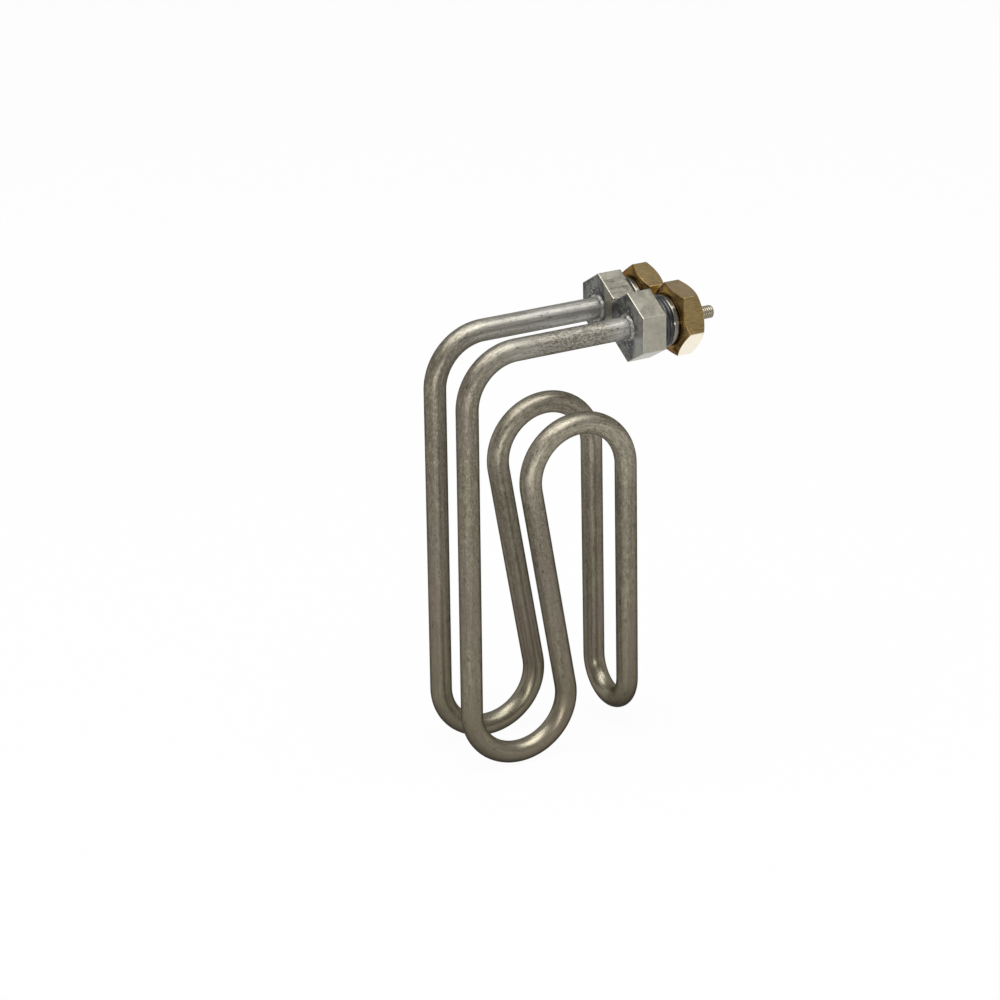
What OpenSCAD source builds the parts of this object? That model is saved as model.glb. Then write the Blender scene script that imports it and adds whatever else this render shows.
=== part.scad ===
// Tubular heating element of a coffee brewer: one sheathed tube, bent double
// like a hairpin, with a bulkhead fitting and a threaded terminal on each end.
// The fittings pass through two holes in the wall of the water tank.
// Origin: midway between the two fittings, in the plane of the gaskets' outer
// faces, where the inside of the tank wall lies. +X points out along the
// terminals, +Z up and +Y to the right as seen from the terminal side.

/* [Sheath tube] */
// Outside diameter of the sheath tube
tube_d = 8; // [7:0.1:9]
// Wall thickness of the sheath tube
tube_wall = 0.7; // [0.5:0.05:0.9]
// Distance between the two legs and the two fittings, centre to centre
leg_pitch = 24.8; // [24.6:0.1:36]
// Radius of the side bends, at the middle of the tube
bend_r = 19.3; // [16:0.1:24]
// Straight lead between the left fitting's hex and the corner bend
lead_l = 44.4; // [40:0.1:70]
// Straight length of the long leg below the corner bend
long_leg_l = 115.8; // [112:0.1:140]
// Straight length of the slanting leg
slant_leg_l = 79; // [70:0.1:84]
// Straight length of the leg that runs down to the end bend
end_leg_l = 85; // [70:0.1:100]
// Lean of the long leg from upright, in degrees
long_leg_lean = 0.9; // [0:0.1:2]
// Slant of the slanting leg from upright, in degrees
slant_leg_lean = 8.9; // [6:0.1:12]

/* [Bulkhead fittings] */
// Hex of the fitting, across flats
hex_af = 22.2; // [19:0.1:24]
// Thickness of the hex, along the tube
hex_t = 9.4; // [6:0.1:14]
// Outside diameter of the threaded bush
bush_d = 15.88; // [14:0.02:17]
// Length of the threaded bush beyond the hex
bush_l = 14; // [13:0.1:20]
// Width of the groove cut in the bush beside the hex
relief_w = 1.6; // [1:0.1:1.8]
// Depth of that groove
relief_depth = 0.9; // [0.5:0.1:1.2]
// How far the sheath tube stands out of the bush
tube_proud = 0.4; // [0.2:0.1:2]
// Leg of the welded fillet where the tube enters the hex
weld_leg = 1.2; // [0.6:0.1:2]
// Radial gap between the tube and the fitting's bore
tube_gap = 0.05; // [0.02:0.01:0.2]

/* [Gaskets, washers and nuts] */
// Thickness of the left gasket, as squeezed
left_gasket_t = 4.4; // [3.6:0.1:6]
// Thickness of the right gasket, as squeezed
right_gasket_t = 2; // [2:0.1:3.5]
// Outside diameter of the gaskets, over the ribs
gasket_d = 19.2; // [18.4:0.1:21]
// Width of one rib around the gasket's edge
gasket_rib_w = 1.4; // [1:0.1:2]
// Depth of the grooves between the ribs
gasket_rib_depth = 0.35; // [0.1:0.05:0.5]
// Outside diameter of the steel washers
washer_d = 18.6; // [18:0.1:22]
// Thickness of the steel washers
washer_t = 2.3; // [1:0.1:3]
// Rounding of the washers' outer edges
washer_round = 0.5; // [0.1:0.05:0.95]
// Radial gap between the bush and what is threaded over it loosely
bush_gap = 0.15; // [0.05:0.05:0.4]
// Brass nut, across flats
nut_af = 23; // [20:0.1:23.4]
// Thickness of the brass nut
nut_t = 9.3; // [6:0.1:10]
// Diameter of the flat ring that the chamfer leaves on each side of the nut
nut_face_d = 20.4; // [19:0.1:22.4]
// Slope of the nut's chamfer, in degrees
nut_chamfer = 30; // [20:1:40]
// How far the left nut is turned from having a corner on top, in degrees
left_nut_turn = 40; // [36:1:44]
// How far the right nut is turned from having a corner on top, in degrees
right_nut_turn = -8; // [-12:1:-4]
// Radial gap that stands for the play in the screw threads
thread_gap = 0.05; // [0.02:0.01:0.1]

/* [Terminals and filling] */
// Diameter of the terminal stud, over its thread
stud_d = 4.75; // [4:0.01:5.2]
// Diameter of the stud's plain shank, inside the insulator
shank_d = 3.4; // [2.6:0.1:3.5]
// Distance from the hex to the end of the stud
stud_out = 25.2; // [22:0.1:32]
// Bevel on the end of the stud
stud_bevel = 0.4; // [0.1:0.1:0.8]
// Diameter of the cold pin inside the tube
pin_d = 3; // [2.2:0.1:3.2]
// How far the cold pin reaches past the hex's inner face, inside the lead
pin_in = 25; // [10:1:35]
// Outside diameter of the resistance coil, a close-wound helix of thin wire
coil_d = 3.4; // [2.4:0.1:4.2]
// Diameter of the ceramic insulator's collar
collar_d = 10; // [8.6:0.1:12]
// Thickness of the ceramic insulator's collar
collar_t = 2.6; // [1.5:0.1:4]
// Rounding of the collar's outer edge
collar_round = 0.5; // [0.1:0.1:0.7]
// How far the ceramic insulator reaches into the tube
spigot_l = 2; // [1:0.1:4]
// Length of the sealing plug inside the tube
seal_l = 5; // [3:0.1:8]
// Radial gap around the insulator's spigot and around the shank in it
insulator_gap = 0.1; // [0.05:0.01:0.2]
// Radial gap between parts that fit closely inside the tube
snug_gap = 0.02; // [0.02:0.01:0.04]

/* [Hidden] */
$fn = 96;
HEX = 6;
LEFT = -1;
RIGHT = 1;
tube_r = tube_d / 2;
bore_r = tube_r - tube_wall;
fill_r = bore_r - snug_gap;
coil_r = coil_d / 2;
pin_r = pin_d / 2;
stud_r = stud_d / 2;
shank_r = shank_d / 2;
bush_r = bush_d / 2;
end_bend_r = leg_pitch / 2;
// Straight runs lap over the bends they meet, a hair proud of them, so that
// each joins the next in one solid
lap = 0.2;
lap_step = 0.04;
// How far a cut runs past the faces that it opens
cut_past = 1;
// Directions of the four straight runs of a leg, from +X towards +Z
heading = [180, 270 - long_leg_lean, 90 + slant_leg_lean, -90];
// The lead's end at the corner bend, the same for both legs
corner_x = -left_gasket_t - hex_t - lead_l;
// Centres of the three side bends and starts of the runs that follow them
corner_c = [corner_x, -bend_r];
long_leg_top = corner_c - bend_r * left_of(heading[1]);
bottom_c = long_leg_top + long_leg_l * toward(heading[1]) + bend_r * left_of(heading[1]);
slant_leg_foot = bottom_c - bend_r * left_of(heading[2]);
top_c = slant_leg_foot + slant_leg_l * toward(heading[2]) - bend_r * left_of(heading[2]);
end_leg_top = top_c + bend_r * left_of(heading[3]);
end_leg_foot = end_leg_top + end_leg_l * toward(heading[3]);
// Places along a fitting, measured from its hex's outer face
tube_end = bush_l + tube_proud;
seal_out = tube_end - spigot_l;
seal_in = seal_out - seal_l;
pin_end = -hex_t - pin_in;
collar_out = tube_end + collar_t;

// Unit vector at an angle from +X towards +Z
function toward(angle) = [cos(angle), sin(angle)];

// Unit vector a quarter turn to the left of that direction
function left_of(angle) = [-sin(angle), cos(angle)];

function gasket_t(side) = side == LEFT ? left_gasket_t : right_gasket_t;

function nut_turn(side) = side == LEFT ? left_nut_turn : right_nut_turn;

// Sets its children's +Z along +X, from the outer face of one side's hex
module at_fitting(side, x = 0) {
    translate([x - gasket_t(side), side * leg_pitch / 2, 0])
        rotate([0, 90, 0])
            children();
}

module ring(height, outer_r, inner_r) {
    linear_extrude(height = height)
        difference() {
            circle(r = outer_r);
            circle(r = inner_r);
        }
}

// Cross-section of a tube, or of a solid rod where the inner radius is 0
module section(outer_r, inner_r) {
    difference() {
        circle(r = outer_r);
        if (inner_r > 0)
            circle(r = inner_r);
    }
}

module bend_section(outer_r, inner_r) {
    section(outer_r - lap_step, inner_r > 0 ? inner_r + lap_step : 0);
}

// Straight run from a point of the leg's own plane, in the direction given
module run(start, angle, length, outer_r, inner_r) {
    translate([start[0], 0, start[1]])
        rotate([0, 90 - angle, 0])
            translate([0, 0, -lap])
                linear_extrude(height = length + 2 * lap)
                    section(outer_r, inner_r);
}

// Side bend around a centre of the leg's own plane
module bend(centre, from_angle, sweep, outer_r, inner_r) {
    translate([centre[0], 0, centre[1]])
        rotate([90, 0, 0])
            rotate([0, 0, from_angle])
                rotate_extrude(angle = sweep)
                    translate([bend_r, 0])
                        bend_section(outer_r, inner_r);
}

// One leg, from the corner bend to the start of the end bend
module leg(outer_r, inner_r) {
    bend(corner_c, 90, heading[1] - heading[0], outer_r, inner_r);
    run(long_leg_top, heading[1], long_leg_l, outer_r, inner_r);
    bend(bottom_c, heading[1] - 90, 360 + heading[2] - heading[1], outer_r, inner_r);
    run(slant_leg_foot, heading[2], slant_leg_l, outer_r, inner_r);
    bend(top_c, 0, heading[2] - heading[3], outer_r, inner_r);
    run(end_leg_top, heading[3], end_leg_l, outer_r, inner_r);
}

// Both legs and the end bend that joins them
module hairpin(outer_r, inner_r = 0) {
    for (side = [LEFT, RIGHT])
        translate([0, side * leg_pitch / 2, 0])
            leg(outer_r, inner_r);
    translate([end_leg_foot[0], 0, end_leg_foot[1]])
        rotate([90, 0, 90])
            rotate([0, 0, 180])
                rotate_extrude(angle = 180)
                    translate([end_bend_r, 0])
                        bend_section(outer_r, inner_r);
}

// Part of one lead, between two places measured from the hex's outer face
module lead(side, from_x, to_x, outer_r, inner_r = 0) {
    at_fitting(side, from_x)
        linear_extrude(height = to_x - from_x)
            section(outer_r, inner_r);
}

// Where one lead laps over the corner bend, measured from the hex's outer face
function lead_start(side) = corner_x + gasket_t(side) - lap;

module sheath_tube() {
    color([0.49, 0.47, 0.42]) {
        hairpin(tube_r, bore_r);
        for (side = [LEFT, RIGHT])
            lead(side, lead_start(side), tube_end, tube_r, bore_r);
    }
}

// Packed magnesium oxide powder around the coil and the cold pins
module magnesia_filling() {
    color([0.9, 0.88, 0.82]) {
        hairpin(fill_r, coil_r + snug_gap);
        for (side = [LEFT, RIGHT]) {
            lead(side, lead_start(side), pin_end, fill_r, coil_r + snug_gap);
            lead(side, pin_end, seal_in, fill_r, pin_r + snug_gap);
        }
    }
}

// The helix is drawn as one rod of its outer diameter
module resistance_coil() {
    color([0.42, 0.4, 0.38]) {
        hairpin(coil_r);
        for (side = [LEFT, RIGHT])
            lead(side, lead_start(side), pin_end, coil_r);
    }
}

module bulkhead_fitting(side) {
    color([0.68, 0.67, 0.63])
        at_fitting(side)
            difference() {
                union() {
                    translate([0, 0, -hex_t])
                        cylinder(d = hex_af / cos(180 / HEX), h = hex_t, $fn = HEX);
                    cylinder(r = bush_r, h = bush_l);
                }
                ring(relief_w, bush_r + relief_depth, bush_r - relief_depth);
                translate([0, 0, -hex_t - cut_past])
                    cylinder(r = tube_r + tube_gap, h = hex_t + bush_l + 2 * cut_past);
            }
}

// Rounded bead of weld metal around the tube, against the hex's inner face
module weld_fillet(side) {
    foot_r = tube_r + snug_gap;
    color([0.62, 0.6, 0.55])
        at_fitting(side, -hex_t)
            rotate_extrude()
                intersection() {
                    translate([foot_r, -weld_leg])
                        square(weld_leg);
                    translate([foot_r, 0])
                        circle(r = weld_leg);
                }
}

// Rubber ring with rounded ribs around its edge, cut clear of the bush
module gasket(side) {
    thickness = gasket_t(side);
    ribs = max(1, round(thickness / gasket_rib_w));
    rib_w = thickness / ribs;
    inner_r = bush_r + bush_gap;
    outer_r = gasket_d / 2;
    body_r = outer_r - gasket_rib_depth;
    color([0.09, 0.09, 0.1])
        at_fitting(side)
            rotate_extrude()
                difference() {
                    union() {
                        square([body_r, thickness]);
                        for (i = [0 : ribs - 1])
                            translate([outer_r - rib_w / 2, (i + 0.5) * rib_w])
                                circle(d = rib_w);
                    }
                    translate([0, -cut_past])
                        square([inner_r, thickness + 2 * cut_past]);
                }
}

module washer(side) {
    inner_r = bush_r + bush_gap;
    outer_r = washer_d / 2;
    rounding = min(washer_round, washer_t / 2);
    color([0.75, 0.74, 0.72])
        at_fitting(side, gasket_t(side))
            rotate_extrude() {
                translate([inner_r, 0])
                    square([outer_r - rounding - inner_r, washer_t]);
                if (washer_t > 2 * rounding)
                    translate([inner_r, rounding])
                        square([outer_r - inner_r, washer_t - 2 * rounding]);
                for (y = [rounding, washer_t - rounding])
                    translate([outer_r - rounding, y])
                        circle(r = rounding);
            }
}

// Hex nut with a conical chamfer on both sides
module brass_nut(side) {
    corner_r = nut_af / 2 / cos(180 / HEX);
    face_r = nut_face_d / 2;
    cone_r = corner_r + cut_past;
    cone_h = (cone_r - face_r) * tan(nut_chamfer);
    color([0.72, 0.56, 0.3])
        at_fitting(side, gasket_t(side) + washer_t)
            difference() {
                intersection() {
                    rotate([0, 0, nut_turn(side)])
                        cylinder(r = corner_r, h = nut_t, $fn = HEX);
                    rotate_extrude()
                        polygon([
                            [0, 0], [face_r, 0], [cone_r, cone_h],
                            [cone_r, nut_t - cone_h], [face_r, nut_t], [0, nut_t],
                        ]);
                }
                translate([0, 0, -cut_past])
                    cylinder(r = bush_r + thread_gap, h = nut_t + 2 * cut_past);
            }
}

module cold_pin(side) {
    color([0.7, 0.68, 0.64])
        lead(side, pin_end, seal_out, pin_r);
}

// Threaded from the insulator's collar outwards
module terminal_stud(side) {
    color([0.66, 0.65, 0.62]) {
        lead(side, seal_out, collar_out, shank_r);
        lead(side, collar_out, stud_out - stud_bevel, stud_r);
        at_fitting(side, stud_out - stud_bevel)
            cylinder(r1 = stud_r, r2 = stud_r - stud_bevel, h = stud_bevel);
    }
}

module end_seal(side) {
    color([0.62, 0.24, 0.16])
        lead(side, seal_in, seal_out, fill_r, pin_r + snug_gap);
}

// Ceramic bush that keeps the live stud away from the sheath's end
module ceramic_insulator(side) {
    hole_r = shank_r + insulator_gap;
    collar_r = collar_d / 2;
    collar_face_r = collar_r - collar_round;
    color([0.93, 0.91, 0.86])
        at_fitting(side, seal_out)
            rotate_extrude() {
                translate([hole_r, 0])
                    square([bore_r - insulator_gap - hole_r, spigot_l]);
                translate([hole_r, spigot_l])
                    square([collar_r - hole_r, collar_t - collar_round]);
                translate([hole_r, spigot_l])
                    square([collar_face_r - hole_r, collar_t]);
                translate([collar_face_r, spigot_l + collar_t - collar_round])
                    circle(r = collar_round);
            }
}

sheath_tube();
magnesia_filling();
resistance_coil();
bulkhead_fitting(LEFT);  // left_bulkhead_fitting
bulkhead_fitting(RIGHT);  // right_bulkhead_fitting
weld_fillet(LEFT);  // left_weld_fillet
weld_fillet(RIGHT);  // right_weld_fillet
gasket(LEFT);  // left_gasket
gasket(RIGHT);  // right_gasket
washer(LEFT);  // left_washer
washer(RIGHT);  // right_washer
brass_nut(LEFT);  // left_brass_nut
brass_nut(RIGHT);  // right_brass_nut
cold_pin(LEFT);  // left_cold_pin
cold_pin(RIGHT);  // right_cold_pin
terminal_stud(LEFT);  // left_terminal_stud
terminal_stud(RIGHT);  // right_terminal_stud
end_seal(LEFT);  // left_end_seal
end_seal(RIGHT);  // right_end_seal
ceramic_insulator(LEFT);  // left_ceramic_insulator
ceramic_insulator(RIGHT);  // right_ceramic_insulator
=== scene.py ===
"""Looks of a coffee brewer's tubular heating element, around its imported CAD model."""
import math

import bmesh
import bpy
from mathutils import Matrix, Vector, noise


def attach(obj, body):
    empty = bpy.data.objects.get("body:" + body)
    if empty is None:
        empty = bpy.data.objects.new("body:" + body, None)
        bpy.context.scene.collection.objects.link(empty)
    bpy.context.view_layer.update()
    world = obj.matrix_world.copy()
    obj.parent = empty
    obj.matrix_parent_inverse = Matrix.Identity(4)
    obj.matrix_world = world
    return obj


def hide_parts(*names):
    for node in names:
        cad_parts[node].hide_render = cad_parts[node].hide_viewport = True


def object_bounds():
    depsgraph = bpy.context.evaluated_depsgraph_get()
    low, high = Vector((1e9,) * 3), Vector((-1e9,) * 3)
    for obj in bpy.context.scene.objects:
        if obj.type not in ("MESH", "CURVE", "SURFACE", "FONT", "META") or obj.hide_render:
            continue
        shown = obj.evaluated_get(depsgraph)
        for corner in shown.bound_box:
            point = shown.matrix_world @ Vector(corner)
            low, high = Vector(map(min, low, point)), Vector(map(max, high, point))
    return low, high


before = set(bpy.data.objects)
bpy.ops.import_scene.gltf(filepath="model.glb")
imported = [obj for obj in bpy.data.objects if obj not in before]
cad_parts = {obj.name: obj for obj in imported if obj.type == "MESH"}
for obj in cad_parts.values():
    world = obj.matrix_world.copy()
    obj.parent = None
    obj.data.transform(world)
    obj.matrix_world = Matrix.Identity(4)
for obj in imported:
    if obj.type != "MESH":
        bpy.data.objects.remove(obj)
cad_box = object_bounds()

MM = 0.001
BODY = "root"
UP = Vector((0, 0, 1))

# Sizes in millimetres and degrees, as in part.scad
TUBE_R = 4.0
BORE_R = 3.3
LEG_Y = 12.4
BEND_R = 19.3
LEAD_L = 44.4
LONG_LEG_L = 115.8
SLANT_LEG_L = 79.0
END_LEG_L = 85.0
HEADINGS = (180.0, 269.1, 98.9, -90.0)
HEX_AF = 22.2
HEX_T = 9.4
BUSH_R = 7.94
BUSH_L = 14.0
BUSH_PITCH = 1.411
RELIEF_W = 1.6
RELIEF_DEPTH = 0.9
BORE_GAP = 0.05
TUBE_END = 14.4
NUT_AF = 23.0
NUT_T = 9.3
NUT_FACE_R = 10.2
NUT_SLOPE = math.tan(math.radians(30))
WASHER_R = 9.3
WASHER_T = 2.3
GASKET_R = 9.6
STUD_R = 2.375
STUD_PITCH = 0.794
STUD_END = 25.2
COLLAR_END = 17.0
COLLAR_R = 5.0
HOLE_R = 1.8
SPIGOT_R = 3.2
SPIGOT_START = 12.4
SHANK_R = 1.7
WELD_LEG = 1.2

# For each side: the leg's Y, the gasket's thickness and how far the nut is turned
SIDES = {
    "left": (-LEG_Y, 4.4, 40.0),
    "right": (LEG_Y, 2.0, -8.0),
}


# Shape helpers

def toward(degrees):
    a = math.radians(degrees)
    return Vector((math.cos(a), 0, math.sin(a)))


def left_of(degrees):
    return toward(degrees + 90)


def smoothstep(low, high, x):
    t = min(1.0, max(0.0, (x - low) / (high - low)))
    return t * t * (3 - 2 * t)


def sharpen(mesh, degrees):
    """Smooth shading, with edges over the given angle left sharp."""
    bm = bmesh.new()
    bm.from_mesh(mesh)
    bmesh.ops.recalc_face_normals(bm, faces=bm.faces)
    limit = math.radians(degrees)
    for face in bm.faces:
        face.smooth = True
    for edge in bm.edges:
        edge.smooth = len(edge.link_faces) == 2 and edge.calc_face_angle() < limit
    bm.to_mesh(mesh)
    bm.free()


def piece(name, verts, faces, material, nodes, sharp=32.0):
    """A mesh in metres from points in millimetres, riding on the body in place of CAD nodes."""
    mesh = bpy.data.meshes.new(name)
    mesh.from_pydata([Vector(v) * MM for v in verts], [], faces)
    mesh.materials.append(material)
    sharpen(mesh, sharp)
    obj = bpy.data.objects.new(name, mesh)
    bpy.context.scene.collection.objects.link(obj)
    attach(obj, BODY)
    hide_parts(*nodes)
    return obj


def joined_rings(rings, closed=True):
    """Vertices and faces of a skin over rings of points, the last joined to the first if closed."""
    count = len(rings[0])
    verts = [p for ring in rings for p in ring]
    faces = []
    pairs = len(rings) if closed else len(rings) - 1
    for i in range(pairs):
        a = i * count
        b = (i + 1) % len(rings) * count
        for j in range(count):
            k = (j + 1) % count
            faces.append((a + j, a + k, b + k, b + j))
    return verts, faces


def turned(side, start, profile, angles):
    """Rings of a body around one side's axis. Each profile entry gives X from start and a radius
    that may depend on the angle; angles run from +Z towards -Y."""
    y = SIDES[side][0]
    rings = []
    for x, radius in profile:
        ring = []
        for a in angles:
            r = radius(a) if callable(radius) else radius
            at = x(a) if callable(x) else x
            ring.append((start + at, y - r * math.sin(a), r * math.cos(a)))
        rings.append(ring)
    return rings


def even_angles(count):
    return [2 * math.pi * i / count for i in range(count)]


def hex_angles(turn):
    """Angles close together at a hex's corners and wide apart over its flats."""
    offsets = (0.0, 0.35, 0.7, 1.1, 1.6, 2.4, 4.0, 7.0, 11.0, 15.0, 20.0, 25.0, 30.0)
    half = sorted({s * o for o in offsets for s in (-1, 1)} - {-30.0})
    return [math.radians(turn + 60 * k + o) for k in range(6) for o in half]


def hex_radius(across_flats, corner_round, turn):
    """The radius of a hex with rounded corners, as a function of the angle."""
    flat = across_flats / 2
    centre = (flat - corner_round) / math.cos(math.radians(30))
    touch = math.atan2(corner_round / 2, centre + corner_round * math.cos(math.radians(30)))

    def radius(a):
        off = math.remainder(a - math.radians(turn), math.radians(60))
        if abs(off) < touch:
            inner = corner_round ** 2 - (centre * math.sin(off)) ** 2
            return centre * math.cos(off) + math.sqrt(inner)
        return flat / math.cos(math.radians(30) - abs(off))

    return radius


def thread_radius(x, a, major, pitch, depth):
    """The radius of a right-hand thread with rounded crests and roots."""
    t = (x / pitch + a / (2 * math.pi)) % 1.0
    flank = abs(2 * t - 1)
    return major - depth * smoothstep(0.08, 0.92, flank)


def lump(x, y, z, scale, seed):
    return noise.noise(Vector((x, y, z)) * scale + Vector((seed, seed * 1.7, -seed)))


# Materials

class Paint:
    """A procedural material under construction."""

    def __init__(self, name, metallic, rough, tint=None, coat=0.0):
        self.material = bpy.data.materials.new(name)
        self.material.use_nodes = True
        self.tree = self.material.node_tree
        self.shader = self.tree.nodes["Principled BSDF"]
        self.shader.inputs["Metallic"].default_value = metallic
        self.shader.inputs["Roughness"].default_value = rough
        self.shader.inputs["Coat Weight"].default_value = coat
        if tint:
            self.shader.inputs["Specular Tint"].default_value = (*tint, 1)

    def node(self, kind, settings=None, **inputs):
        made = self.tree.nodes.new(kind)
        for key, value in (settings or {}).items():
            setattr(made, key, value)
        for key, value in inputs.items():
            self.put(made.inputs[int(key[1:]) if key[0] == "i" and key[1:].isdigit() else key], value)
        return made

    def put(self, socket, value):
        if isinstance(value, bpy.types.NodeSocket):
            self.tree.links.new(value, socket)
        elif isinstance(value, (tuple, list)) and len(value) == 3 and socket.type == "RGBA":
            socket.default_value = (*value, 1)
        else:
            socket.default_value = value

    def object_coords(self):
        return self.node("ShaderNodeTexCoord").outputs["Object"]

    def attribute(self, name):
        return self.node("ShaderNodeAttribute", {"attribute_name": name}).outputs["Vector"]

    def scaled(self, coords, scale):
        return self.node("ShaderNodeMapping", Vector=coords, Scale=scale).outputs["Vector"]

    def noise(self, coords, scale, detail=4.0, roughness=0.55, distortion=0.0):
        made = self.node("ShaderNodeTexNoise", Vector=self.scaled(coords, scale), Scale=1.0,
                         Detail=detail, Roughness=roughness, Distortion=distortion)
        return made.outputs["Fac"]

    def cells(self, coords, scale, feature="F1"):
        made = self.node("ShaderNodeTexVoronoi", {"feature": feature},
                         Vector=self.scaled(coords, scale), Scale=1.0)
        return made.outputs["Distance"]

    def remap(self, value, low, high, to_low=0.0, to_high=1.0):
        made = self.node("ShaderNodeMapRange", {"interpolation_type": "SMOOTHSTEP"}, Value=value)
        for key, number in (("From Min", low), ("From Max", high), ("To Min", to_low), ("To Max", to_high)):
            made.inputs[key].default_value = number
        return made.outputs["Result"]

    def math(self, operation, a, b=0.0):
        made = self.node("ShaderNodeMath", {"operation": operation}, i0=a, i1=b)
        return made.outputs["Value"]

    def part_of(self, vector, axis):
        return self.node("ShaderNodeSeparateXYZ", Vector=vector).outputs[axis]

    def mix(self, factor, a, b, blend="MIX"):
        made = self.node("ShaderNodeMix", {"data_type": "RGBA", "blend_type": blend})
        self.put(made.inputs[0], factor)
        self.put(made.inputs[6], a)
        self.put(made.inputs[7], b)
        return made.outputs[2]

    def colour(self, value):
        self.put(self.shader.inputs["Base Color"], value)

    def roughness(self, value):
        self.put(self.shader.inputs["Roughness"], value)

    def bump(self, height, distance, strength=1.0, normal=None):
        made = self.node("ShaderNodeBump", Height=height, Distance=distance, Strength=strength)
        if normal:
            self.put(made.inputs["Normal"], normal)
        self.put(self.shader.inputs["Normal"], made.outputs["Normal"])
        return made.outputs["Normal"]


def sheath_paint():
    """Dull drawn tube: silvery and sandy near the fittings, browned by heat further down, with painted sheen over the
    loop heads, a painted highlight on the tops of the bottom bends and painted shade under them.
    """
    p = Paint("sheath_metal", 0.82, 0.36, tint=(0.02, 0.02, 0.02))
    along = p.attribute("tube_map")
    place = p.object_coords()
    streaks = p.noise(along, (1700, 1700, 70), 3.0, 0.6)
    mottle = p.noise(along, (620, 620, 330), 5.0, 0.72)
    broad = p.noise(along, (60, 60, 22), 3.0, 0.5)
    grain = p.noise(along, (1500, 1500, 900), 3.0, 0.7)
    pits = p.noise(along, (1000, 1000, 380), 3.0, 0.72)
    height = p.part_of(place, "Z")
    reach = p.part_of(place, "X")
    near_top = p.remap(height, -0.034, 0.0)
    upper = p.remap(height, -0.12, -0.03, 0.3, 1.0)
    near_hex = p.math("MULTIPLY", near_top, p.remap(reach, -0.085, -0.03))
    sandy = p.math("MULTIPLY", near_top, p.math("MULTIPLY", p.remap(reach, -0.066, -0.045), p.remap(reach, -0.018, -0.026)))
    olive = p.mix(p.remap(mottle, 0.36, 0.66), (0.150, 0.133, 0.094), (0.222, 0.200, 0.147))
    brown = p.mix(p.remap(broad, 0.45, 0.62, 0.0, 0.7), olive, (0.182, 0.151, 0.122))
    # Painted sheen: the loop heads take a lighter olive in place of the sheen that light gives them.
    sheen_heads = p.math("MULTIPLY", p.remap(height, -0.066, -0.040), p.remap(reach, -0.066, -0.056))
    sheen_olive = p.mix(p.remap(mottle, 0.36, 0.66), (0.265, 0.239, 0.180), (0.385, 0.352, 0.274))
    brown = p.mix(p.math("MULTIPLY", sheen_heads, 0.85), brown, sheen_olive)
    base = p.mix(near_hex, brown, (0.42, 0.415, 0.385))
    rough_grain = p.remap(grain, 0.45, 0.55)
    leather = p.math("MULTIPLY", sandy, p.remap(p.part_of(place, "Y"), 0.004, -0.004, 0.2, 0.9))
    base = p.mix(leather, base, p.mix(rough_grain, (0.075, 0.069, 0.055), (0.42, 0.395, 0.33)))
    base = p.mix(p.math("MULTIPLY", upper, p.remap(grain, 0.5, 0.64, 0.0, 0.45)), base, (0.085, 0.075, 0.058))
    base = p.mix(p.math("MULTIPLY", upper, p.remap(grain, 0.46, 0.36, 0.0, 0.35)), base, (0.42, 0.40, 0.34))
    base = p.mix(p.remap(height, -0.105, -0.150, 0.0, 0.5), base, (0.225, 0.200, 0.132))
    patch = p.noise(along, (45, 45, 14), 2.0, 0.5)
    low = p.remap(height, -0.075, -0.115)
    base = p.mix(p.math("MULTIPLY", low, p.remap(patch, 0.46, 0.58, 0.0, 0.55)), base, (0.166, 0.134, 0.100))
    facing = p.part_of(p.node("ShaderNodeNewGeometry").outputs["Normal"], "Z")
    # Painted highlight: the upward-facing tops of the bottom bends are made lighter.
    painted_bend_highlight = p.math("MULTIPLY", p.remap(height, -0.115, -0.14), p.remap(facing, 0.25, 0.8, 0.0, 0.6))
    base = p.mix(painted_bend_highlight, base, (0.37, 0.345, 0.265))
    # Painted shade: the downward-facing undersides of the bottom bends are made darker.
    painted_bend_shade = p.math("MULTIPLY", p.remap(height, -0.115, -0.14), p.remap(facing, 0.35, -0.6, 0.0, 0.8))
    base = p.mix(painted_bend_shade, base, (0.062, 0.053, 0.038))
    dark = p.math("MULTIPLY", p.remap(pits, 0.6, 0.68), 0.7)
    base = p.mix(dark, base, (0.05, 0.044, 0.036))
    base = p.mix(p.remap(streaks, 0.44, 0.6, 0.0, 0.3), base, (0.09, 0.08, 0.062))
    p.colour(base)
    satin = p.math("ADD", p.remap(mottle, 0.3, 0.75, -0.05, 0.05), p.remap(height, -0.145, -0.045, 0.35, 0.42))
    near_side = p.remap(p.part_of(place, "Y"), 0.004, -0.004)
    p.roughness(p.math("ADD", satin, p.math("MULTIPLY", near_hex, p.remap(near_side, 0.0, 1.0, 0.02, 0.09))))
    relief = p.math("ADD", p.math("MULTIPLY", streaks, 0.5), p.math("MULTIPLY", pits, -0.5))
    p.bump(p.math("ADD", relief, p.math("MULTIPLY", grain, 0.5)), 0.00004)
    return p.material


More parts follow.
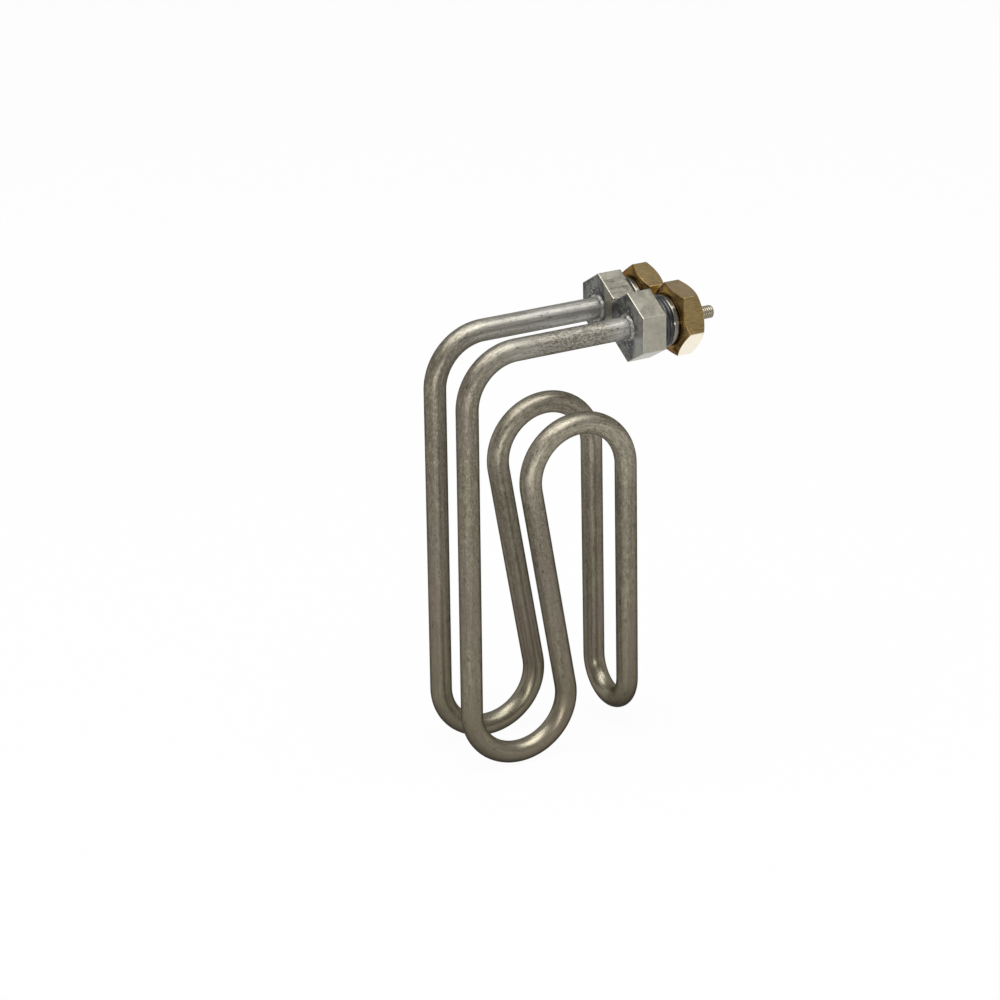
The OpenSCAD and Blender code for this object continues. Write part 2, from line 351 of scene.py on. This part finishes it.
def fitting_paint():
    """Satin hex flats and turned bush."""
    p = Paint("fitting_metal", 0.9, 0.3)
    place = p.object_coords()
    grain = p.noise(place, (2300, 260, 260), 4.0, 0.6)
    stain = p.noise(place, (190, 190, 190), 5.0, 0.62, 0.4)
    fine = p.noise(place, (1700, 1700, 1700), 2.0)
    base = p.mix(p.remap(stain, 0.35, 0.68), (0.302, 0.289, 0.232), (0.369, 0.353, 0.286))
    base = p.mix(p.remap(grain, 0.36, 0.64, 0.0, 0.35), base, (0.425, 0.414, 0.352))
    side = p.part_of(place, "Y")
    far = p.math("MULTIPLY", p.remap(side, 0.0, 0.004, 0.15, 0.85), p.remap(side, 0.017, 0.0125))
    smear = p.noise(place, (140, 620, 300), 4.0, 0.6, 0.6)
    base = p.mix(p.math("MULTIPLY", far, p.remap(smear, 0.5, 0.62)), base, (0.17, 0.16, 0.13))
    normal = p.node("ShaderNodeNewGeometry").outputs["Normal"]
    # Painted shade: the flats facing up and backwards are darkened, and made rougher, to damp the key lamp's
    # reflection on them.
    painted_shade_back_top = p.math("MULTIPLY", p.remap(p.part_of(normal, "Y"), 0.25, 0.45), p.remap(p.part_of(normal, "Z"), 0.5, 0.8))
    base = p.mix(p.math("MULTIPLY", painted_shade_back_top, 0.65), base, (0.12, 0.115, 0.098))
    p.colour(p.mix(p.remap(fine, 0.6, 0.72, 0.0, 0.3), base, (0.2, 0.19, 0.17)))
    p.roughness(p.math("ADD", p.remap(stain, 0.3, 0.7, 0.24, 0.36), p.math("MULTIPLY", painted_shade_back_top, 0.16)))
    p.bump(p.math("ADD", grain, p.math("MULTIPLY", fine, 0.4)), 0.00002)
    return p.material


def fitting_face_paint():
    """The hex's inner face: turned, then darkened around the weld by its heat."""
    p = Paint("fitting_face_metal", 0.85, 0.36, tint=(0.35, 0.35, 0.34))
    place = p.object_coords()
    cloud = p.noise(place, (240, 240, 240), 6.0, 0.66, 0.8)
    fine = p.noise(place, (1300, 1300, 1300), 3.0, 0.6)
    across = p.math("SUBTRACT", p.math("ABSOLUTE", p.part_of(place, "Y")), LEG_Y * MM)
    height = p.part_of(place, "Z")
    radius = p.math("SQRT", p.math("ADD", p.math("MULTIPLY", across, across), p.math("MULTIPLY", height, height)))
    rings = p.noise(p.node("ShaderNodeCombineXYZ", X=radius).outputs[0], (3800, 1, 1), 3.0, 0.6)
    base = p.mix(p.remap(cloud, 0.40, 0.66), (0.045, 0.047, 0.048), (0.21, 0.208, 0.188))
    base = p.mix(p.remap(rings, 0.4, 0.6, 0.0, 0.35), base, (0.33, 0.33, 0.315))
    base = p.mix(p.remap(fine, 0.5, 0.7, 0.0, 0.4), base, (0.075, 0.074, 0.07))
    scorched = p.math("MULTIPLY", p.math("MULTIPLY", p.remap(radius, 0.0085, 0.006), p.remap(radius, 0.0052, 0.0062)), p.remap(cloud, 0.3, 0.6, 0.5, 0.95))
    base = p.mix(scorched, base, (0.062, 0.064, 0.07))
    ring = p.math("MULTIPLY", p.remap(radius, 0.0052, 0.0058), p.remap(radius, 0.0088, 0.0068))
    spatter = p.noise(place, (760, 760, 760), 2.0, 0.5)
    side = p.part_of(place, "Y")
    between = p.math("MULTIPLY", p.remap(side, 0.0, 0.003), p.remap(side, 0.009, 0.006))
    base = p.mix(p.math("MULTIPLY", between, 0.6), base, (0.34, 0.32, 0.25))
    edge = p.math("MULTIPLY", p.remap(side, -0.0158, -0.0180), p.remap(cloud, 0.36, 0.56, 0.35, 0.9))
    base = p.mix(edge, base, (0.33, 0.325, 0.30))
    p.colour(p.mix(p.math("MULTIPLY", ring, p.remap(spatter, 0.54, 0.68)), base, (0.36, 0.355, 0.325)))
    p.roughness(p.remap(cloud, 0.3, 0.7, 0.28, 0.48))
    p.bump(p.math("ADD", cloud, p.math("MULTIPLY", fine, 0.5)), 0.00005)
    return p.material


def weld_paint():
    """Rippled weld metal with paler and darker blotches."""
    p = Paint("weld_metal", 0.8, 0.46)
    place = p.object_coords()
    cloud = p.noise(place, (520, 520, 520), 4.0, 0.6, 0.5)
    fine = p.noise(place, (1300, 1300, 1300), 3.0, 0.6)
    p.colour(p.mix(p.remap(cloud, 0.43, 0.6), (0.15, 0.147, 0.136), (0.32, 0.312, 0.29)))
    p.roughness(p.remap(fine, 0.3, 0.7, 0.4, 0.54))
    p.bump(p.math("ADD", cloud, p.math("MULTIPLY", fine, 0.2)), 0.00002)
    return p.material


def rubber_paint():
    """Moulded black rubber with a dusty sheen."""
    p = Paint("gasket_rubber", 0.0, 0.36)
    place = p.object_coords()
    dust = p.noise(place, (400, 400, 400), 5.0, 0.65)
    scuff = p.noise(place, (1500, 500, 500), 4.0, 0.6)
    base = p.mix(p.remap(dust, 0.4, 0.72), (0.005, 0.0055, 0.0065), (0.014, 0.015, 0.018))
    p.colour(p.mix(p.remap(scuff, 0.6, 0.74, 0.0, 0.3), base, (0.07, 0.075, 0.085)))
    p.roughness(p.remap(dust, 0.35, 0.7, 0.26, 0.46))
    p.bump(p.math("ADD", dust, scuff), 0.00003)
    return p.material


def plated_paint():
    """Bright plated steel with fine turning lines."""
    p = Paint("plated_metal", 1.0, 0.1)
    place = p.object_coords()
    lines = p.noise(place, (2600, 160, 160), 3.0, 0.6)
    film = p.noise(place, (220, 220, 220), 4.0, 0.6)
    p.colour(p.mix(p.remap(film, 0.35, 0.7), (0.14, 0.13, 0.108), (0.25, 0.235, 0.203)))
    p.roughness(p.remap(film, 0.3, 0.7, 0.13, 0.22))
    p.bump(lines, 0.00001)
    return p.material


def brass_paint(name, dark, light, bright, shine, relief, painted_glare, tint=(1, 1, 1), coat=1.0):
    """Brass with a thin brown tarnish: drawn flats, or chamfers left by the lathe, with a cream painted reflection on
    the lowest facets.
    """
    p = Paint(name, 1.0, shine, tint, coat)
    place = p.object_coords()
    grain = p.noise(place, (420, 2100, 2100), 4.0, 0.62)
    film = p.noise(place, (150, 150, 150), 5.0, 0.6, 0.3)
    spots = p.noise(place, (900, 900, 900), 3.0, 0.6)
    base = p.mix(p.remap(film, 0.36, 0.68), dark, light)
    base = p.mix(p.remap(grain, 0.38, 0.66, 0.0, 0.3), base, bright)
    height = p.part_of(place, "Z")
    outward = p.math("SUBTRACT", -LEG_Y * MM, p.part_of(place, "Y"))
    before_corner = p.math("ADD", outward, p.math("MULTIPLY", height, math.tan(math.radians(20))))
    # Painted reflection: the lowest facets of the flats turn cream-white, as if mirroring a bright floor below.
    glare_facet = p.math("MULTIPLY", p.remap(height, -0.0019, -0.0026, 0.0, painted_glare), p.remap(before_corner, -0.0002, 0.0004))
    base = p.mix(glare_facet, base, (0.98, 0.91, 0.74))
    p.colour(p.mix(p.remap(spots, 0.58, 0.75, 0.0, 0.4), base, (0.26, 0.16, 0.055)))
    p.roughness(p.remap(grain, 0.3, 0.7, shine - 0.05, shine + 0.07))
    p.bump(p.math("ADD", grain, p.math("MULTIPLY", spots, 0.25)), relief)
    return p.material


def stud_paint():
    """Rolled thread with dull plating in two blotchy tones."""
    p = Paint("stud_metal", 0.9, 0.36, tint=(0.8, 0.8, 0.78))
    place = p.object_coords()
    film = p.noise(place, (500, 500, 500), 4.0, 0.6)
    fine = p.noise(place, (2500, 2500, 2500), 2.0)
    p.colour(p.mix(p.remap(film, 0.36, 0.68), (0.375, 0.347, 0.275), (0.45, 0.418, 0.337)))
    p.roughness(p.remap(fine, 0.3, 0.7, 0.3, 0.4))
    p.bump(fine, 0.000004)
    return p.material


def plain_paint(name, metallic, dark, light, rough, scale, relief):
    """A finish with two tones, for ceramic, sealant and the pieces inside the tube."""
    p = Paint(name, metallic, rough)
    place = p.object_coords()
    cloud = p.noise(place, (scale, scale, scale), 4.0, 0.6)
    fine = p.noise(place, (scale * 5, scale * 5, scale * 5), 3.0, 0.6)
    p.colour(p.mix(p.remap(cloud, 0.35, 0.68), dark, light))
    p.roughness(p.remap(fine, 0.3, 0.7, rough - 0.06, rough + 0.08))
    p.bump(fine, relief)
    return p.material


def floor_paint():
    """White floor: mostly plain white to the eye and in reflections, with a soft shadow."""
    material = bpy.data.materials.new("studio_floor")
    material.use_nodes = True
    tree = material.node_tree
    tree.nodes.clear()
    out = tree.nodes.new("ShaderNodeOutputMaterial")
    diffuse = tree.nodes.new("ShaderNodeBsdfDiffuse")
    diffuse.inputs["Color"].default_value = (0.55, 0.55, 0.55, 1)
    glow = tree.nodes.new("ShaderNodeEmission")
    glow.inputs["Color"].default_value = (1, 1, 1, 1)
    rays = tree.nodes.new("ShaderNodeLightPath")
    seen = rays.outputs["Is Camera Ray"]
    for kind in ("Is Glossy Ray", "Is Transmission Ray"):
        add = tree.nodes.new("ShaderNodeMath")
        add.operation = "ADD"
        add.use_clamp = True
        tree.links.new(seen, add.inputs[0])
        tree.links.new(rays.outputs[kind], add.inputs[1])
        seen = add.outputs[0]
    share = tree.nodes.new("ShaderNodeMath")
    share.operation = "MULTIPLY"
    share.inputs[1].default_value = 0.96
    tree.links.new(seen, share.inputs[0])
    mix = tree.nodes.new("ShaderNodeMixShader")
    tree.links.new(share.outputs[0], mix.inputs[0])
    tree.links.new(diffuse.outputs[0], mix.inputs[1])
    tree.links.new(glow.outputs[0], mix.inputs[2])
    tree.links.new(mix.outputs[0], out.inputs["Surface"])
    return material


SHEATH = sheath_paint()
FITTING = fitting_paint()
FITTING_FACE = fitting_face_paint()
WELD = weld_paint()
RUBBER = rubber_paint()
PLATED = plated_paint()
# 0.85 sets the strength of the painted reflection on the flats' lowest facets.
BRASS = brass_paint("nut_brass", (0.37, 0.245, 0.08), (0.46, 0.315, 0.112), (0.62, 0.46, 0.21), 0.25, 0.000003, 0.85)
BRASS_TURNED = brass_paint("nut_brass_turned", (0.34, 0.215, 0.07), (0.52, 0.34, 0.115), (0.72, 0.50, 0.19), 0.3, 0.000002, 0.0)
# Painted shade: the nut's back faces, turned towards the washer, get a dark brass standing in for the shade there.
BRASS_SHADED_BACK = brass_paint("nut_brass_painted_shade", (0.06, 0.034, 0.011), (0.24, 0.145, 0.045), (0.36, 0.235, 0.085), 0.24, 0.000002, 0.0, (0.30, 0.22, 0.12), 0.25)
STUD = stud_paint()
CERAMIC = plain_paint("ceramic_white", 0.0, (0.66, 0.64, 0.58), (0.82, 0.80, 0.75), 0.5, 300, 0.00003)
INNER = {
    "magnesia_filling": plain_paint("magnesia_powder", 0.0, (0.62, 0.6, 0.54), (0.8, 0.78, 0.72), 0.85, 500, 0.00005),
    "resistance_coil": plain_paint("coil_metal", 0.9, (0.2, 0.19, 0.17), (0.34, 0.32, 0.3), 0.4, 900, 0.00002),
    "left_cold_pin": plain_paint("pin_metal", 0.95, (0.4, 0.39, 0.36), (0.56, 0.55, 0.51), 0.3, 400, 0.00001),
    "left_end_seal": plain_paint("seal_silicone", 0.0, (0.26, 0.06, 0.035), (0.38, 0.1, 0.055), 0.5, 300, 0.00003),
}
INNER["right_cold_pin"] = INNER["left_cold_pin"]
INNER["right_end_seal"] = INNER["left_end_seal"]


# The sheath tube

def leg_route():
    """Points and directions along the left leg's centreline, from the corner bend's start on."""
    corner_x = -SIDES["left"][1] - HEX_T - LEAD_L
    route = []

    def arc(centre, start, end, hand):
        steps = max(2, round(abs(end - start) / 2.0))
        for i in range(steps + 1):
            h = start + (end - start) * i / steps
            route.append((centre - hand * BEND_R * left_of(h), toward(h)))

    def line(start, heading, length):
        steps = round(length / 3.0)
        for i in range(1, steps):
            route.append((start + toward(heading) * length * i / steps, toward(heading)))
        return start + toward(heading) * length

    down, up, fall = HEADINGS[1], HEADINGS[2] + 360, HEADINGS[3] + 360
    corner = Vector((corner_x, 0, -BEND_R))
    arc(corner, HEADINGS[0], down, 1)
    foot = line(corner - BEND_R * left_of(down), down, LONG_LEG_L)
    bottom = foot + BEND_R * left_of(down)
    arc(bottom, down, up, 1)
    head = line(bottom - BEND_R * left_of(up), up, SLANT_LEG_L)
    top = head - BEND_R * left_of(up)
    arc(top, up, fall, -1)
    end = line(top + BEND_R * left_of(fall), fall, END_LEG_L)
    route.append((end, toward(fall)))
    return [(Vector((p.x, -LEG_Y, p.z)), t) for p, t in route]


def whole_route():
    leg = leg_route()
    route = []
    corner_x = leg[0][0].x
    tip = TUBE_END - SIDES["left"][1]
    for i in range(30):
        route.append((Vector((tip + (corner_x - tip) * i / 30, -LEG_Y, 0)), Vector((-1, 0, 0))))
    route += leg
    foot = leg[-1][0]
    for i in range(1, 60):
        a = math.radians(180 + 3 * i)
        at = Vector((foot.x, LEG_Y * math.cos(a), foot.z + LEG_Y * math.sin(a)))
        route.append((at, Vector((0, -math.sin(a), math.cos(a)))))
    for p, t in reversed(leg):
        route.append((Vector((p.x, LEG_Y, p.z)), -t))
    tip = TUBE_END - SIDES["right"][1]
    for i in range(1, 31):
        route.append((Vector((corner_x + (tip - corner_x) * i / 30, LEG_Y, 0)), Vector((1, 0, 0))))
    return route


def build_sheath():
    around = 56
    angles = even_angles(around)
    rings, marks = [], []
    side, s, last = Vector((0, 1, 0)), 0.0, None
    route = whole_route()
    frames = []
    for p, t in route:
        if last is not None:
            side = last[1].rotation_difference(t) @ side
            s += (p - last[0]).length
        frames.append((p, side.copy(), t.cross(side), s))
        last = (p, t)
    for p, n, b, s in frames:
        rings.append([p + TUBE_R * (math.cos(a) * n + math.sin(a) * b) for a in angles])
        marks += [(TUBE_R * math.cos(a) * MM, TUBE_R * math.sin(a) * MM, s * MM) for a in angles]
    inner = [frames[0], *frames[30:-30:3], frames[-1]]
    for p, n, b, s in reversed(inner):
        rings.append([p + BORE_R * (math.cos(a) * n + math.sin(a) * b) for a in angles])
        marks += [(BORE_R * math.cos(a) * MM, BORE_R * math.sin(a) * MM, s * MM) for a in angles]
    verts, faces = joined_rings(rings)
    obj = piece("sheath", verts, faces, SHEATH, ["sheath_tube"], 50)
    layer = obj.data.attributes.new("tube_map", "FLOAT_VECTOR", "POINT")
    layer.data.foreach_set("vector", [c for m in marks for c in m])
    return obj


# The fittings and what is stacked on them

def build_fitting(side):
    y, gasket, _ = SIDES[side]
    angles = hex_angles(0)
    hexagon = hex_radius(HEX_AF, 0.3, 0)
    start = -gasket

    def inset(by):
        return lambda a: hexagon(a) - by

    bore = TUBE_R + BORE_GAP
    face = [(-HEX_T, bore), (-HEX_T, 6.0), (-HEX_T, 8.0), (-HEX_T, 10.0), (-HEX_T, inset(0.5)), (-HEX_T, inset(0.28))]
    flats = [
        (-HEX_T + 0.03, inset(0.13)), (-HEX_T + 0.13, inset(0.03)), (-HEX_T + 0.28, hexagon),
        (-HEX_T + 0.6, hexagon), (-HEX_T / 2, hexagon), (-0.6, hexagon), (-0.25, hexagon),
        (-0.11, inset(0.03)), (-0.03, inset(0.11)), (0.0, inset(0.25)), (0.0, inset(0.6)),
        (0.0, 9.0), (0.0, BUSH_R - RELIEF_DEPTH), (0.1, BUSH_R - RELIEF_DEPTH),
        (RELIEF_W - 0.3, BUSH_R - RELIEF_DEPTH),
    ]
    steps = 130
    thread = []
    for i in range(steps + 1):
        x = RELIEF_W + (BUSH_L - RELIEF_W) * i / steps
        ends = min(BUSH_R - RELIEF_DEPTH + (x - RELIEF_W) * 1.2, BUSH_R - max(0.0, x - BUSH_L + 1.0) * 0.9)

        def radius(a, x=x, ends=ends):
            return min(ends, thread_radius(x, a, BUSH_R, BUSH_PITCH, 0.8))

        thread.append((x, radius))
    mouth = [(BUSH_L, 5.6), (BUSH_L, bore + 0.2), (BUSH_L - 0.2, bore)]
    profile = face + flats + thread + mouth
    verts, faces = joined_rings(turned(side, start, profile, angles))
    obj = piece(f"{side}_fitting", verts, faces, FITTING, [f"{side}_bulkhead_fitting"], 38)
    obj.data.materials.append(FITTING_FACE)
    edge = (start - HEX_T + 0.01) * MM
    for polygon in obj.data.polygons:
        if polygon.center.x < edge:
            polygon.material_index = 1
    return obj


def build_weld(side):
    y, gasket, _ = SIDES[side]
    seed = 3.1 if side == "left" else 8.7
    angles = even_angles(200)
    start = -gasket - HEX_T
    steps = 14
    profile = []

    def swell(a, t):
        ripple = 0.5 + 0.5 * math.sin(8 * a + 2.6 * math.sin(3 * a + seed) + 2.0 * t)
        rough = lump(4 * math.cos(a), 4 * math.sin(a), 2 * t, 0.55, seed)
        return 0.06 * ripple + 0.22 * rough

    for i in range(steps + 1):
        t = i / steps
        turn = t * math.pi / 2
        hold = math.sin(math.pi * t) ** 0.7

        def radius(a, turn=turn, t=t, hold=hold):
            reach = WELD_LEG * (0.86 + hold * swell(a, t)) if 0 < t < 1 else WELD_LEG * (0.9 + 0.3 * swell(a, t))
            return TUBE_R + 0.01 + reach * math.sin(turn)

        def place(a, turn=turn, t=t, hold=hold):
            reach = WELD_LEG * (1.0 + hold * swell(a, t)) if 0 < t < 1 else WELD_LEG * (1.0 + 0.35 * swell(a, t))
            return -reach * math.cos(turn)

        profile.append((place, radius))
    profile.append((0.0, TUBE_R + 0.01))
    verts, faces = joined_rings(turned(side, start, profile, angles))
    return piece(f"{side}_weld", verts, faces, WELD, [f"{side}_weld_fillet"], 80)


def build_gasket(side):
    y, gasket, _ = SIDES[side]
    bore = BUSH_R + 0.15
    ribs = max(1, round(gasket / 1.4))
    width = gasket / ribs
    seed = 2.3 if side == "left" else 5.9
    profile = [(0.0, bore), (0.0, (bore + GASKET_R) / 2)]
    steps = 12
    for rib in range(ribs):
        for i in range(steps + (rib == ribs - 1)):
            x = (rib + i / steps) * width
            hump = abs(math.sin(math.pi * i / steps)) ** 0.55

            def radius(a, x=x, hump=hump):
                soft = lump(5 * math.cos(a), 5 * math.sin(a), x, 0.5, seed)
                return GASKET_R - 0.36 * (1 - hump) - 0.05 + 0.05 * soft

            profile.append((x, radius))
    profile += [(gasket, (bore + GASKET_R) / 2), (gasket, bore)]
    verts, faces = joined_rings(turned(side, -gasket, profile, even_angles(112)))
    return piece(f"{side}_rubber_ring", verts, faces, RUBBER, [f"{side}_gasket"], 60)


def build_washer(side):
    bore, rim = BUSH_R + 0.15, 0.5
    profile = [(0.08, bore), (0.0, bore + 0.08), (0.0, WASHER_R - rim - 0.15)]
    for end, sign in ((0.0, 1), (WASHER_T, -1)):
        arc = []
        for i in range(9):
            a = math.pi / 2 * i / 8
            arc.append((end + sign * rim * (1 - math.sin(a)), WASHER_R - rim + rim * math.cos(a)))
        profile += reversed(arc) if sign == 1 else arc
    profile += [(WASHER_T, WASHER_R - rim - 0.15), (WASHER_T, bore + 0.08), (WASHER_T - 0.08, bore)]
    verts, faces = joined_rings(turned(side, 0.0, profile, even_angles(144)))
    return piece(f"{side}_flat_washer", verts, faces, PLATED, [f"{side}_washer"])


def build_nut(side):
    y, gasket, turn = SIDES[side]
    angles = hex_angles(turn)
    hexagon = hex_radius(NUT_AF, 0.25, turn)
    soft = 0.14

    def chamfer_depth(a):
        return (hexagon(a) - NUT_FACE_R) * NUT_SLOPE

    def cone(t):
        return lambda a: NUT_FACE_R + (hexagon(a) - NUT_FACE_R) * t

    def depth(t):
        return lambda a: chamfer_depth(a) * t

    half = []
    half.append((0.0, 8.9))
    half.append((0.0, NUT_FACE_R - 0.5))
    half.append((0.0, NUT_FACE_R - 0.1))
    half.append((0.04, NUT_FACE_R + 0.04))
    for t in (0.15, 0.5, 0.8):
        half.append((depth(t), cone(t)))
    half.append((lambda a: chamfer_depth(a) - 0.5 * soft, lambda a: hexagon(a) - 0.87 * soft))
    half.append((lambda a: chamfer_depth(a) + 0.22 * soft, lambda a: hexagon(a) - 0.22 * soft))
    half.append((lambda a: chamfer_depth(a) + soft, hexagon))
    half.append((lambda a: chamfer_depth(a) + soft + 0.3, hexagon))

    def other(x):
        return (lambda a: NUT_T - x(a)) if callable(x) else NUT_T - x

    outside = half + [(NUT_T / 2, hexagon)] + [(other(x), r) for x, r in reversed(half)]
    start = WASHER_T
    steps = 90
    bore = []
    for i in range(steps + 1):
        x = NUT_T * (1 - i / steps)
        flare = 8.75 - min(x, NUT_T - x) * 1.3

        def radius(a, x=x, flare=flare):
            along = x + start + gasket
            return max(flare, thread_radius(along, a, BUSH_R, BUSH_PITCH, 0.8) + 0.06)

        bore.append((x, radius))
    verts, faces = joined_rings(turned(side, start, outside + bore, angles))
    obj = piece(f"{side}_nut", verts, faces, BRASS, [f"{side}_brass_nut"], 40)
    obj.data.materials.append(BRASS_TURNED)
    obj.data.materials.append(BRASS_SHADED_BACK)
    for polygon in obj.data.polygons:
        if polygon.normal.x > 0.3:
            polygon.material_index = 1
        # Back faces take the brass with painted shade.
        elif polygon.normal.x < -0.1:
            polygon.material_index = 2
    return obj


def build_stud(side):
    y, gasket, _ = SIDES[side]
    angles = even_angles(48)
    profile = [(SPIGOT_START + 0.01, 0.05), (SPIGOT_START + 0.01, SHANK_R - 0.1), (SPIGOT_START + 0.1, SHANK_R)]
    profile += [(COLLAR_END, SHANK_R), (COLLAR_END + 0.02, SHANK_R + 0.02)]
    steps = 150
    for i in range(steps + 1):
        x = COLLAR_END + 0.03 + (STUD_END - COLLAR_END - 0.03) * i / steps
        ends = min(STUD_R - max(0.0, x - STUD_END + 0.5) * 0.8, SHANK_R + (x - COLLAR_END) * 1.0)

        def radius(a, x=x, ends=ends):
            return min(ends, thread_radius(x, a, STUD_R, STUD_PITCH, 0.5))

        profile.append((x, radius))
    profile += [(STUD_END, 1.2), (STUD_END, 0.6), (STUD_END, 0.05)]
    rings = turned(side, -gasket, profile, angles)
    verts, faces = joined_rings(rings, closed=False)
    last = len(verts)
    verts += [(rings[0][0][0], y, 0), (rings[-1][0][0], y, 0)]
    count = len(angles)
    tail = last - count
    for j in range(count):
        k = (j + 1) % count
        faces.append((last, k, j))
        faces.append((last + 1, tail + j, tail + k))
    return piece(f"{side}_stud", verts, faces, STUD, [f"{side}_terminal_stud"], 60)


def build_insulator(side):
    y, gasket, _ = SIDES[side]
    rim = 0.5
    profile = [(SPIGOT_START, HOLE_R + 0.1), (SPIGOT_START, SPIGOT_R - 0.15), (SPIGOT_START + 0.15, SPIGOT_R)]
    profile += [(TUBE_END, SPIGOT_R), (TUBE_END, COLLAR_R - 0.1), (TUBE_END + 0.1, COLLAR_R)]
    profile += [(TUBE_END + 0.4, COLLAR_R), (COLLAR_END - rim - 0.2, COLLAR_R)]
    for i in range(9):
        a = math.pi / 2 * i / 8
        profile.append((COLLAR_END - rim + rim * math.sin(a), COLLAR_R - rim + rim * math.cos(a)))
    profile += [(COLLAR_END, COLLAR_R - rim - 0.3), (COLLAR_END, HOLE_R + 0.15), (COLLAR_END - 0.15, HOLE_R)]
    verts, faces = joined_rings(turned(side, -gasket, profile, even_angles(96)))
    return piece(f"{side}_insulator", verts, faces, CERAMIC, [f"{side}_ceramic_insulator"], 40)


build_sheath()
for which in SIDES:
    build_fitting(which)
    build_weld(which)
    build_gasket(which)
    build_washer(which)
    build_nut(which)
    build_stud(which)
    build_insulator(which)
for name, material in INNER.items():
    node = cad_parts[name]
    node.data.materials.clear()
    node.data.materials.append(material)


# Floor, lights and camera

def build_floor():
    """A round floor whose rim curves up, highest on the side behind the object."""
    reach, bend, back_rise, sectors, steps = 4.0, 0.6, 0.7, 96, 10
    low = cad_box[0].z
    verts, faces = [(0, 0, low)], []
    for j in range(sectors):
        turn = 2 * math.pi * j / sectors
        behind = smoothstep(0.35, 0.8, math.sin(turn))
        profile = [(1.0, 0.0)]
        for i in range(steps + 1):
            a = math.pi / 2 * i / steps
            profile.append((reach - bend + bend * math.sin(a), bend * (1 - math.cos(a))))
        profile.append((reach, bend + 0.02 + back_rise * behind))
        verts += [(r * math.cos(turn), r * math.sin(turn), low + z) for r, z in profile]
    count = len(profile)
    for j in range(sectors):
        a, b = 1 + j * count, 1 + (j + 1) % sectors * count
        faces.append((0, a, b))
        faces += [(a + i, a + i + 1, b + i + 1, b + i) for i in range(count - 1)]
    mesh = bpy.data.meshes.new("floor")
    mesh.from_pydata(verts, [], faces)
    for polygon in mesh.polygons:
        polygon.use_smooth = True
    mesh.materials.append(floor_paint())
    obj = bpy.data.objects.new("floor", mesh)
    bpy.context.scene.collection.objects.link(obj)


def area_light(name, azimuth, elevation, distance, size, power, height=None):
    """A soft lamp aimed at the object; azimuth 0 stands at -Y and 90 at +X."""
    middle = (cad_box[0] + cad_box[1]) / 2
    a, e = math.radians(azimuth), math.radians(elevation)
    back = Vector((math.sin(a) * math.cos(e), -math.cos(a) * math.cos(e), math.sin(e)))
    data = bpy.data.lights.new(name, "AREA")
    data.shape = "RECTANGLE"
    data.size = size
    data.size_y = height or size
    data.energy = power
    obj = bpy.data.objects.new(name, data)
    obj.location = middle + back * distance
    obj.rotation_mode = "QUATERNION"
    obj.rotation_quaternion = (-back).to_track_quat("-Z", "Y")
    obj.visible_camera = False
    bpy.context.scene.collection.objects.link(obj)


def build_camera():
    azimuth, elevation, roll = (math.radians(d) for d in (-27.203, 22.546, -1.52))
    aim = Vector((-0.037059, 0.043340, -0.080236))
    distance = 0.997108
    back = Vector((math.sin(azimuth) * math.cos(elevation), -math.cos(azimuth) * math.cos(elevation), math.sin(elevation)))
    right = Matrix.Rotation(roll, 3, back) @ Vector((math.cos(azimuth), math.sin(azimuth), 0))
    up = back.cross(right)
    data = bpy.data.cameras.new("camera")
    data.sensor_width = 36.0
    data.lens = 95.553
    data.clip_start, data.clip_end = 0.05, 20.0
    obj = bpy.data.objects.new("camera", data)
    turn = Matrix((right, up, back)).transposed()
    obj.matrix_world = Matrix.Translation(aim + distance * back) @ turn.to_4x4()
    bpy.context.scene.collection.objects.link(obj)
    bpy.context.scene.camera = obj


build_floor()
area_light("key", -40, 78, 1.7, 2.4, 52, 1.3)
area_light("front", -33, 0, 1.6, 1.0, 8, 0.14)
area_light("top", 80, 69, 1.6, 0.9, 0.6)
world = bpy.data.worlds.new("studio")
world.use_nodes = True
world.node_tree.nodes["Background"].inputs["Color"].default_value = (0.42, 0.42, 0.42, 1)
world.node_tree.nodes["Background"].inputs["Strength"].default_value = 1.0
bpy.context.scene.world = world
bpy.context.scene.view_settings.view_transform = "Standard"
build_camera()
